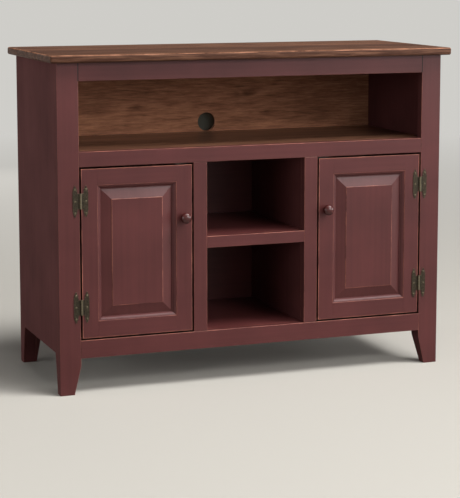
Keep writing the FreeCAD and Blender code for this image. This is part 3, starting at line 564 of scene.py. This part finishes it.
def knot_field(finish, knots):
    """How close a point is to a knot in the plane of X and Z, from 0 to 1."""
    x, _, z = finish.axes(finish.place)
    nearness = 0.0
    for knot_x, knot_z, size in knots:
        aside = finish.product(finish.less(x, knot_x), KNOT_STRETCH / size)
        above = finish.math("DIVIDE", finish.less(z, knot_z), size)
        squared = finish.total(finish.product(aside, aside), finish.product(above, above))
        near = finish.math("DIVIDE", 1.0, finish.total(squared, 1.0))
        nearness = finish.larger(near, nearness)
    return nearness


def stained_finish(
    name, across, joints, lift, bands,
    fineness=4.0, roughness=(0.76, 0.64), specular=0.04, knots=(), worn=False,
):
    """Brown stained planks along X, each with its own figure and tone.

    Lift makes them paler, bands streaky and fineness short in the grain. Roughness is that of dark
    and of pale fibres.
    """
    finish = Finish(name)
    position = finish.axes(finish.place)["XYZ".index(across)]
    number = plank_number(finish, position, joints)
    chance = finish.add("ShaderNodeTexWhiteNoise", {"W": number}, noise_dimensions="1D").outputs
    grain = finish.vector("ADD", finish.place, finish.vector("MULTIPLY", chance["Color"], PLANK_SHIFT))
    swell = finish.noise(finish.drawn(grain, "X", 1.3, 8.0), detail=2.0, distortion=0.5)
    if knots:
        near = knot_field(finish, knots)
        swell = finish.total(swell, finish.product(near, 0.2))
    rings = finish.math("SINE", finish.product(swell, 46.0))
    fibres = finish.noise(finish.drawn(grain, "X", fineness, 220.0), detail=4.0, roughness=0.7)
    pores = finish.noise(finish.drawn(grain, "X", 26.0, 900.0), detail=1.0)
    streaks = finish.noise(finish.drawn(grain, "X", 1.6, 34.0), detail=2.0, roughness=0.6)
    tones = (
        finish.product(rings, 0.05),
        finish.remap(fibres, 0.2, 0.8, 0.18, 0.82),
        finish.remap(streaks, 0.25, 0.75, -bands, bands),
        finish.remap(chance["Value"], 0.0, 1.0, lift - PLANK_CONTRAST, lift + PLANK_CONTRAST),
    )
    colour = finish.ramp(
        reduce(finish.total, tones),
        (0.26, STAIN_DARK), (0.50, STAIN_MIDDLE), (0.74, STAIN_LIGHT), (1.0, STAIN_PALE),
    )
    colour = finish.mix(finish.remap(pores, 0.60, 0.74, 0.0, 0.5), colour, STAIN_PORE)
    if knots:
        colour = finish.mix(finish.remap(near, 0.5, 0.95, 0.0, 0.5), colour, STAIN_PORE)
    for joint in joints:
        gap = finish.fade(finish.apart(position, joint), 0.6 * MM, 1.8 * MM, 0.8)
        colour = finish.mix(gap, colour, STAIN_PORE)
    if worn:
        colour = finish.mix(rubbed_patches(finish, TOP_WEAR), colour, STAIN_WORN)
    relief = finish.less(fibres, finish.product(finish.remap(pores, 0.55, 0.75), 0.5))
    finish.set(
        Base_Color=colour,
        Roughness=finish.remap(fibres, 0.25, 0.75, *roughness),
        Normal=finish.bump(relief, 0.3, 0.25 * MM),
        Specular_IOR_Level=specular,
    )
    return finish.material


# Other finishes
def bare_finish():
    """Planed softwood with level grain."""
    finish = Finish("bare_wood")
    fibres = finish.noise(finish.drawn(finish.place, "Z", 90.0, 30.0), detail=5.0, distortion=0.6)
    bands = finish.noise(finish.drawn(finish.place, "Z", 40.0, 6.0), detail=2.0, distortion=1.2)
    tone = finish.blend(fibres, bands, 0.5)
    finish.set(
        Base_Color=finish.ramp(tone, (0.32, BARE_DARK), (0.68, BARE_LIGHT)),
        Roughness=finish.remap(fibres, 0.3, 0.7, 0.72, 0.58),
        Normal=finish.bump(fibres, 0.3, 0.2 * MM),
    )
    return finish.material


def brass_finish(name, low_rub, high_rub):
    """Aged brass, darkened beside the hinges' barrels as patina and as painted shade of the gap there, and
    paler on the barrels, rubbed and as a painted highlight.
    """
    finish = Finish(name)
    patches = finish.noise(finish.place, scale=420.0, detail=4.0, roughness=0.65)
    specks = finish.noise(finish.place, scale=1300.0, detail=2.0)
    tone = finish.blend(patches, specks, 0.6)
    colour = finish.ramp(tone, (0.30, BRASS_DARK), (0.66, BRASS_LIGHT))
    off = finish.apart(finish.size(finish.axes(finish.place)[0]), HINGE_AXIS)
    # Painted shade with patina: a dark band beside each barrel, where the gap between leaf and barrel falls
    # into shade
    painted_shade = finish.fade(off, BARREL + 2.5 * MM, BARREL + 6 * MM)
    colour = finish.mix(finish.product(painted_shade, 0.8), colour, BRASS_PATINA_AND_SHADE)
    # Painted highlight with rubbing: the barrels paler all round
    barrel = finish.fade(off, BARREL - 0.5 * MM, BARREL + 0.2 * MM)
    rubbing_and_highlight = finish.remap(patches, 0.38, 0.6, low_rub, high_rub)
    rubbing_and_highlight = finish.larger(rubbing_and_highlight, finish.product(barrel, BARREL_RUB_AND_HIGHLIGHT))
    finish.set(
        Base_Color=finish.mix(rubbing_and_highlight, colour, BRASS_RUBBED_AND_HIGHLIGHT),
        Metallic=0.85,
        Roughness=finish.remap(tone, 0.3, 0.7, 0.56, 0.36),
        Normal=finish.bump(tone, 0.35, 0.12 * MM),
    )
    return finish.material


def knob_finish():
    """Gloss burgundy over turned wood, in clouds of two tones and with fine marks of the lathe."""
    finish = Finish("knob_paint")
    cloud = finish.noise(finish.place, scale=60.0, detail=3.0)
    turning = finish.noise(finish.drawn(finish.place, "Y", 900.0, 40.0), detail=2.0)
    finish.set(
        Base_Color=finish.mix(finish.remap(cloud, 0.3, 0.7), KNOB_DARK, KNOB_LIGHT),
        Roughness=finish.remap(turning, 0.3, 0.7, 0.2, 0.25),
        Specular_IOR_Level=0.38,
        Normal=finish.bump(turning, 0.12, 0.08 * MM),
    )
    return finish.material


def speckled_finish(name, dark, light, metallic, rough, smooth):
    """Small hardware: two tones in fine specks, with an uneven gloss."""
    finish = Finish(name)
    specks = finish.noise(finish.place, scale=420.0, detail=4.0, roughness=0.6)
    finish.set(
        Base_Color=finish.ramp(specks, (0.34, dark), (0.66, light)),
        Metallic=metallic,
        Roughness=finish.remap(specks, 0.3, 0.7, rough, smooth),
        Normal=finish.bump(specks, 0.2, 0.05 * MM),
    )
    return finish.material


def floor_finish():
    """Pale where it is seen, even in the far parts that no lamp reaches.

    It is darker in the light that it throws back.
    """
    finish = Finish("pale_floor")
    seen = finish.seen()
    away = finish.add("ShaderNodeVectorMath", {0: finish.place}, operation="LENGTH").outputs["Value"]
    far = finish.product(seen, finish.remap(away, FLOOR_NEAR, FLOOR_FAR))
    finish.set(
        Base_Color=finish.mix(seen, FLOOR_BOUNCE, finish.mix(far, FLOOR_COLOUR, BLACK)),
        Roughness=0.75,
        Specular_IOR_Level=0.0,
        Emission_Color=finish.mix(far, BLACK, BACKGROUND),
        Emission_Strength=1.0,
    )
    return finish.material


def shade_card_finish():
    """Dark card of painted shade behind the cable hole, seen from the front only, that casts no shadow."""
    finish = Finish("painted_shade_card")
    behind = finish.add("ShaderNodeNewGeometry").outputs["Backfacing"]
    finish.set(
        Base_Color=SHADE_CARD_COLOUR,
        Roughness=0.75,
        Specular_IOR_Level=0.0,
        Alpha=finish.product(finish.seen(), finish.less(1.0, behind)),
    )
    return finish.material


PAINT = paint_set("", "XYZ")
# The face frame's flats carry painted shade in the gaps round the doors and along the joints
FRAME_PAINT = paint_set("_frame", "XZ", painted_shade=frame_shade)
# Rubbed arrises, with painted shade along the face frame's joints
FRAME_EDGE = paint_set("_rubbed", "XZ", FRAME_WEAR, joint_shade_lines)
INNER_EDGE = paint_set("_eased", "XYZ", INNER_WEAR)
BRASS = brass_finish("aged_brass", 0.0, 0.06)
BRASS_EDGE = brass_finish("aged_brass_edge", 0.03, 0.36)
BRASS_SCREW = brass_finish("aged_brass_screw", 0.04, 0.24)
STEEL = speckled_finish("zinc_steel", STEEL_DARK, STEEL_LIGHT, 1.0, 0.46, 0.3)
PLASTIC = speckled_finish("brown_plastic", PLASTIC_DARK, PLASTIC_LIGHT, 0.0, 0.55, 0.42)
BARE = bare_finish()
KNOB_PAINT = knob_finish()
TOP_STAIN = stained_finish("stained_top", "Y", TOP_JOINTS, -0.18, 0.12)
TOP_STAIN_SIDE = stained_finish(
    "stained_top_side", "Y", (), -0.22, 0.02, fineness=9.0, roughness=(0.6, 0.5), specular=0.12,
)
TOP_STAIN_WORN = stained_finish("stained_top_edge", "Y", (), -0.10, 0.02, fineness=9.0, worn=True)
SHELF_STAIN = stained_finish(
    "stained_shelf", "Y", SHELF_JOINTS, -0.08, 0.16, roughness=(0.38, 0.28), specular=0.35,
)
# Painted light: the back's stain is paler than the top's, standing in for light that the dim bay lacks
BACK_STAIN_PAINTED_LIGHT = stained_finish("stained_back", "Z", (), 0.28, 0.05, fineness=20.0, knots=BACK_KNOTS)

# Finishes and arris of the solids whose material slot alone decides them. The last finish is the arris's
PLAIN_SLOTS = {
    "hinge_metal": ((BRASS, BRASS_EDGE), METAL_ARRIS),
    "bare_wood": ((BARE,), FRAME_ARRIS),
    "steel": ((STEEL,), METAL_ARRIS),
    "catch_plastic": ((PLASTIC,), METAL_ARRIS),
}


# Solids that stay: soft arrises and a finish each
def long_axis(node):
    """The axis that a solid's grain follows: its longest, but across the cabinet in flat boards."""
    if "shelf" in node or node == "bottom_panel":
        return "X"
    low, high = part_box(node)
    size = high - low
    return "XYZ"[max(range(3), key=lambda index: size[index])]


def add_modifier(thing, name, kind, **settings):
    configure(thing.modifiers.new(name, kind), settings)


def soften(thing, width, edge_index, crisp):
    """Joins a solid's faces, rounds its arrises and shades them softly, or crisply where they meet flat."""
    add_modifier(thing, "joined_faces", "WELD", merge_threshold=SOLID_WELD)
    add_modifier(thing, "whole_flats", "DECIMATE", decimate_type="DISSOLVE", angle_limit=FLAT_ANGLE)
    add_modifier(
        thing, "soft_arris", "BEVEL",
        width=width, segments=ARRIS_SEGMENTS, limit_method="ANGLE", angle_limit=SHARP_ANGLE,
        use_clamp_overlap=False, material=edge_index,
    )
    if crisp:
        add_modifier(thing, "crisp_edges", "EDGE_SPLIT", split_angle=CRISP_ANGLE)
    add_modifier(thing, "flat_shading", "WEIGHTED_NORMAL", keep_sharp=True)


def dress(node, finishes, width, crisp=False):
    """Gives a solid its finishes, the last of them on its arrises, which it softens."""
    thing = NODES[node]
    thing.data.materials.clear()
    for finish in finishes:
        thing.data.materials.append(finish)
    soften(thing, width, len(finishes) - 1, crisp)


def dress_doors():
    """One rim of wear round each door, whatever its members, and one round its panel's field."""
    for side in SIDES:
        door = f"{side}_door"
        low, high = span([corner for member in DOOR_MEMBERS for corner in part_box(f"{door}_{member}")])
        # Rim wear, and painted shade on the door's edges where the gap falls dark
        wear, painted_shade = rim_wear(low, high), door_gap_shade(low, high)
        paints = {axis: painted_finish(f"{door}_paint_{axis.lower()}", axis, wear, painted_shade) for axis in "XZ"}
        for member, axis in DOOR_MEMBERS.items():
            dress(f"{door}_{member}", (paints[axis],), DOOR_ARRIS)
        panel = f"{door}_panel"
        panel_paint = painted_finish(f"{panel}_paint", "Z", field_wear(*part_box(panel)))
        dress(panel, (panel_paint,), DOOR_ARRIS, crisp=True)


def dress_nodes():
    """Dresses every solid that stays."""
    for node, slot in SLOT_OF.items():
        if slot in PLAIN_SLOTS:
            dress(node, *PLAIN_SLOTS[slot])
        elif slot == "painted_wood" and "_door_" not in node:
            axis = long_axis(node)
            face, edge = (FRAME_PAINT, FRAME_EDGE) if node in FACE_FRAME else (PAINT, INNER_EDGE)
            dress(node, (face[axis], edge[axis]), FRAME_ARRIS)
    dress("media_shelf", (SHELF_STAIN,), FRAME_ARRIS)
    dress("upper_back_panel", (BACK_STAIN_PAINTED_LIGHT,), METAL_ARRIS)
    dress_doors()


# Pieces in mesh code
def new_piece(name, mesh_maker, finishes, body, slot, *replaced):
    """Makes a piece that rides a body and stands for some nodes."""
    shape = bmesh.new()
    mesh_maker(shape)
    bmesh.ops.remove_doubles(shape, verts=shape.verts, dist=MESH_WELD)
    bmesh.ops.recalc_face_normals(shape, faces=shape.faces)
    mesh = bpy.data.meshes.new(name)
    shape.to_mesh(mesh)
    shape.free()
    for finish in finishes:
        mesh.materials.append(finish)
    mesh.shade_smooth()
    mesh.set_sharp_from_angle(angle=SHARP_ANGLE)
    piece = bpy.data.objects.new(name, mesh)
    show(piece)
    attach(piece, body)
    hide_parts(*replaced)


def bridge(shape, rings):
    """Quads between each ring of vertices and the next."""
    for first, second in zip(rings, rings[1:]):
        for step in range(len(first)):
            shape.faces.new((first[step - 1], first[step], second[step], second[step - 1]))


def turn_profile(shape, profile, steps, centre=(0.0, 0.0)):
    """A turned form about an axis along Y, at a centre in X and Z, from points of radius and Y."""
    middle_x, middle_z = centre
    turns = [2 * math.pi * step / steps for step in range(steps)]
    rings = []
    for radius, y in profile:
        ring = []
        for turn in turns:
            x = middle_x + radius * math.cos(turn)
            z = middle_z + radius * math.sin(turn)
            ring.append(shape.verts.new((x, y, z)))
        rings.append(ring)
    bridge(shape, rings)
    return rings


def plank_side(edge, inner, low, high, inset):
    """Points in Y and Z up a plank's side, whose inside lies along Y by inner.

    A side that is glued to the next plank has a small chamfer on top, and an outer one is round.
    """
    if edge in TOP_JOINTS:
        head = high - inset
        return [(edge, low + inset), (edge, head - PLANK_CHAMFER), (edge + inner * PLANK_CHAMFER, head)]
    radius = TOP_EDGE - inset
    middle = edge + inner * TOP_EDGE
    foot, head = low + TOP_EDGE, high - TOP_EDGE
    arc = [(radius * math.cos(turn), radius * math.sin(turn)) for turn in quarter_turn(ARC_STEPS)]
    lower = [(middle - inner * rise, foot - run) for run, rise in arc]
    upper = [(middle - inner * run, head + rise) for run, rise in arc]
    return lower + upper


def make_planks(shape):
    """The top's planks, with rounded ends and outer edges."""
    low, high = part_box("top_board")
    edges = (low.y, *TOP_JOINTS, high.y)
    arc = quarter_turn(ARC_STEPS)
    ends = [(TOP_EDGE * (1 - math.cos(turn)), TOP_EDGE * (1 - math.sin(turn))) for turn in arc]
    stations = [(low.x + reach, inset) for reach, inset in ends]
    stations += [(high.x - reach, inset) for reach, inset in reversed(ends)]
    for front, back in zip(edges, edges[1:]):
        rings = []
        for x, inset in stations:
            up_front = plank_side(front, 1, low.z, high.z, inset)
            up_back = plank_side(back, -1, low.z, high.z, inset)
            rings.append([shape.verts.new((x, y, z)) for y, z in up_front + up_back[::-1]])
        bridge(shape, rings)
        shape.faces.new(rings[0])
        shape.faces.new(rings[-1])
    mark_top_arris(shape, low, high)


def mark_top_arris(shape, low, high):
    """Gives the outer sides their own finish, and their upper arris the rubbed one."""
    shape.normal_update()
    for face in shape.faces:
        middle = face.calc_center_median()
        beside = min(middle.x - low.x, high.x - middle.x, middle.y - low.y, high.y - middle.y)
        if beside < 0.75 * TOP_EDGE:
            upper = 0.02 * TOP_EDGE < high.z - middle.z < 0.6 * TOP_EDGE
            face.material_index = TOP_WORN_INDEX if upper else TOP_SIDE_INDEX


def knob_profile(reach, head_radius):
    """Radius and distance from the door along a turned knob, from its foot to its crown."""
    rim = reach - DOME_HEIGHT
    points = [
        (0.0, 0.0),
        (FOOT_RADIUS - FOOT_LOWER_EASE, 0.0),
        (FOOT_RADIUS, FOOT_LOWER_EASE),
        (FOOT_RADIUS, FOOT_HEIGHT - FOOT_UPPER_EASE),
        (FOOT_RADIUS - FOOT_UPPER_EASE, FOOT_HEIGHT),
    ]
    for step in range(1, HOLLOW_STEPS + 1):
        share = step / HOLLOW_STEPS
        hollow = NECK_RADIUS + (FOOT_RADIUS - HOLLOW_INSET - NECK_RADIUS) * (1 - share) ** 2
        points.append((hollow, FOOT_HEIGHT + share * HOLLOW_LENGTH))
    neck = points[-1][1]
    for turn in quarter_turn(FLARE_STEPS)[1:]:
        radius = NECK_RADIUS + (head_radius - NECK_RADIUS) * math.sin(turn)
        points.append((radius, neck + (rim - neck) * (1 - math.cos(turn))))
    for turn in quarter_turn(DOME_STEPS)[1:]:
        points.append((head_radius * math.cos(turn), rim + DOME_HEIGHT * math.sin(turn)))
    return points


def make_knob(shape, node):
    """A turned knob in its solid's place, its foot on the door."""
    low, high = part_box(node)
    centre = (low + high) / 2
    profile = knob_profile(high.y - low.y, (high.x - low.x) / 2)
    outwards = [(radius, high.y - reach) for radius, reach in profile]
    turn_profile(shape, outwards, KNOB_STEPS, (centre.x, centre.z))


def solid_boxes(node):
    """Box of each separate solid of a node, in order of their places."""
    shape = bmesh.new()
    shape.from_mesh(NODES[node].data)
    bmesh.ops.remove_doubles(shape, verts=shape.verts, dist=SOLID_WELD)
    left = set(shape.verts)
    boxes = []
    while left:
        island = [left.pop()]
        for vert in island:
            for other in [link.other_vert(vert) for link in vert.link_edges]:
                if other in left:
                    left.remove(other)
                    island.append(other)
        boxes.append(span([vert.co for vert in island]))
    shape.free()
    return sorted(boxes, key=lambda box: tuple(round(value, 5) for value in box[0]))


def screw_head(radius):
    """Mesh of a domed, slotted head with the start of its shank, its seat at the origin, facing -Y."""
    shape = bmesh.new()
    lean = quarter_turn(SCREW_RINGS)
    profile = [(radius * math.sin(angle), -HEAD_HEIGHT * math.cos(angle)) for angle in lean]
    profile += [(radius * SHANK_SHARE, 0.0), (radius * SHANK_SHARE, SHANK_SHOWN)]
    rings = turn_profile(shape, profile, SCREW_STEPS)
    shape.faces.new(rings[-1])
    bmesh.ops.remove_doubles(shape, verts=shape.verts, dist=MESH_WELD)
    cut_slot(shape)
    mesh = bpy.data.meshes.new("screw_head")
    shape.to_mesh(mesh)
    shape.free()
    return mesh


def cut_slot(shape):
    """Cuts a slot along X across a screw's dome."""

    def dome():
        return [face for face in shape.faces if face.calc_center_median().y < -DOME_FOOT]

    for side in (-1, 1):
        parts = {part for face in dome() for part in (face, *face.edges, *face.verts)}
        place = (0, 0, side * SLOT_WIDTH / 2)
        bmesh.ops.bisect_plane(shape, geom=list(parts), plane_co=place, plane_no=(0, 0, 1), dist=CUT_REACH)
    slot = [face for face in dome() if abs(face.calc_center_median().z) < SLOT_WIDTH / 2]
    sunk = bmesh.ops.extrude_face_region(shape, geom=slot)
    bmesh.ops.delete(shape, geom=slot, context="FACES_KEEP_BOUNDARY")
    for part in sunk["geom"]:
        if isinstance(part, bmesh.types.BMVert):
            part.co.y = min(part.co.y + SLOT_DEPTH, -SLOT_FLOOR)


def make_screws(shape, node):
    """A screw head in the place of each of a node's solids."""
    for index, (low, high) in enumerate(solid_boxes(node)):
        middle = (low + high) / 2
        mesh = screw_head((high.x - low.x) / 2)
        turn = math.radians(FIRST_SCREW_TURN + NEXT_SCREW_TURN * index)
        place = Matrix.Translation((middle.x, low.y + HEAD_HEIGHT, middle.z))
        mesh.transform(place @ Matrix.Rotation(turn, 4, "Y"))
        shape.from_mesh(mesh)
        bpy.data.meshes.remove(mesh)


def add_screws(holder, body):
    """The heads of the hinge screws that a door or the frame holds."""
    node = f"{holder}_hinge_screws"
    maker = partial(make_screws, node=node)
    new_piece(f"{holder}_screws", maker, (BRASS_SCREW,), body, "hinge_metal", node)


def make_pieces():
    """The forms that are finer than their solids."""
    top_finishes = (TOP_STAIN, TOP_STAIN_SIDE, TOP_STAIN_WORN)
    new_piece("top_planks", make_planks, top_finishes, "cabinet", "stained_wood", "top_board")
    for side in SIDES:
        body, node = f"{side}_door", f"{side}_knob"
        maker = partial(make_knob, node=node)
        new_piece(f"{side}_turned_knob", maker, (KNOB_PAINT,), body, "knob_wood", node)
        add_screws(body, body)
    add_screws("frame", "cabinet")


# Stage
def towards(turn, rise):
    """Unit vector from the object to a light, turned to the right of the front and raised."""
    across, up = math.radians(turn), math.radians(rise)
    return Vector((math.sin(across) * math.cos(up), -math.cos(across) * math.cos(up), math.sin(up)))


def add_lamp(name, kind, way, distance, **settings):
    """A lamp that stands some way off the object's middle and faces it."""
    lamp = bpy.data.lights.new(name, kind)
    configure(lamp, settings)
    thing = bpy.data.objects.new(name, lamp)
    thing.location = (CAD_BOX[0] + CAD_BOX[1]) / 2 + distance * way
    thing.rotation_mode = "QUATERNION"
    thing.rotation_quaternion = way.to_track_quat("Z", "Y")
    show(thing)


def add_lights():
    """The key and the panels round it."""
    key_way = towards(KEY_TURN, KEY_RISE)
    key_angle = math.radians(KEY_SPREAD)
    add_lamp("key", "SUN", key_way, KEY_DISTANCE, energy=KEY_STRENGTH, angle=key_angle)
    for name, lamp in LAMPS.items():
        add_lamp(
            name, "AREA", towards(lamp.turn, lamp.rise), lamp.distance,
            energy=lamp.power, shape="RECTANGLE", size=lamp.width, size_y=lamp.height,
            spread=math.radians(lamp.spread),
        )


def add_surround():
    """Even light, with the pale background where the eye, a gloss or a clear surface meets it."""
    world = bpy.data.worlds.new("surround")
    bpy.context.scene.world = world
    nodes = Nodes(world)
    light = nodes.tree.nodes["Background"]
    nodes.feed(light, {"Color": WHITE, "Strength": SURROUND})
    pale = nodes.add("ShaderNodeBackground", {"Color": BACKGROUND})
    shaders = {0: nodes.seen(), 1: light.outputs[0], 2: pale.outputs[0]}
    choice = nodes.add("ShaderNodeMixShader", shaders)
    nodes.feed(nodes.tree.nodes["World Output"], {"Surface": choice.outputs[0]})


def add_card(name, middle, across, up, size, material):
    """Square of the stage, facing the way that across and up give by the right hand."""
    half = size / 2
    signs = ((-1, -1), (1, -1), (1, 1), (-1, 1))
    corners = [middle + across * x * half + up * y * half for x, y in signs]
    mesh = bpy.data.meshes.new(name)
    mesh.from_pydata(corners, [], [(0, 1, 2, 3)])
    mesh.materials.append(material)
    card = bpy.data.objects.new(name, mesh)
    show(card)


def add_stage():
    """The floor, and the dark card of painted shade behind the cable hole."""
    along_x, along_y, along_z = (Vector(row) for row in Matrix.Identity(3))
    add_card("floor", Vector(), along_x, along_y, FLOOR_SIZE, floor_finish())
    behind = Vector(CABLE_HOLE["pos_m"]) + along_y * SHADE_CARD_GAP
    add_card("shade_card", behind, along_x, along_z, SHADE_CARD_SIZE, shade_card_finish())


def add_camera():
    """The camera, at the photograph's viewing angle."""
    lens = bpy.data.cameras.new("camera")
    lens.lens = CAMERA_LENS
    lens.shift_y = CAMERA_SHIFT
    camera = bpy.data.objects.new("camera", lens)
    camera.location = CAMERA_PLACE
    camera.rotation_euler = (math.radians(90 - CAMERA_PITCH), 0, math.radians(-CAMERA_YAW))
    show(camera)
    bpy.context.scene.camera = camera


dress_nodes()
make_pieces()
add_stage()
add_surround()
add_lights()
add_camera()
bpy.context.scene.view_settings.view_transform = "Standard"
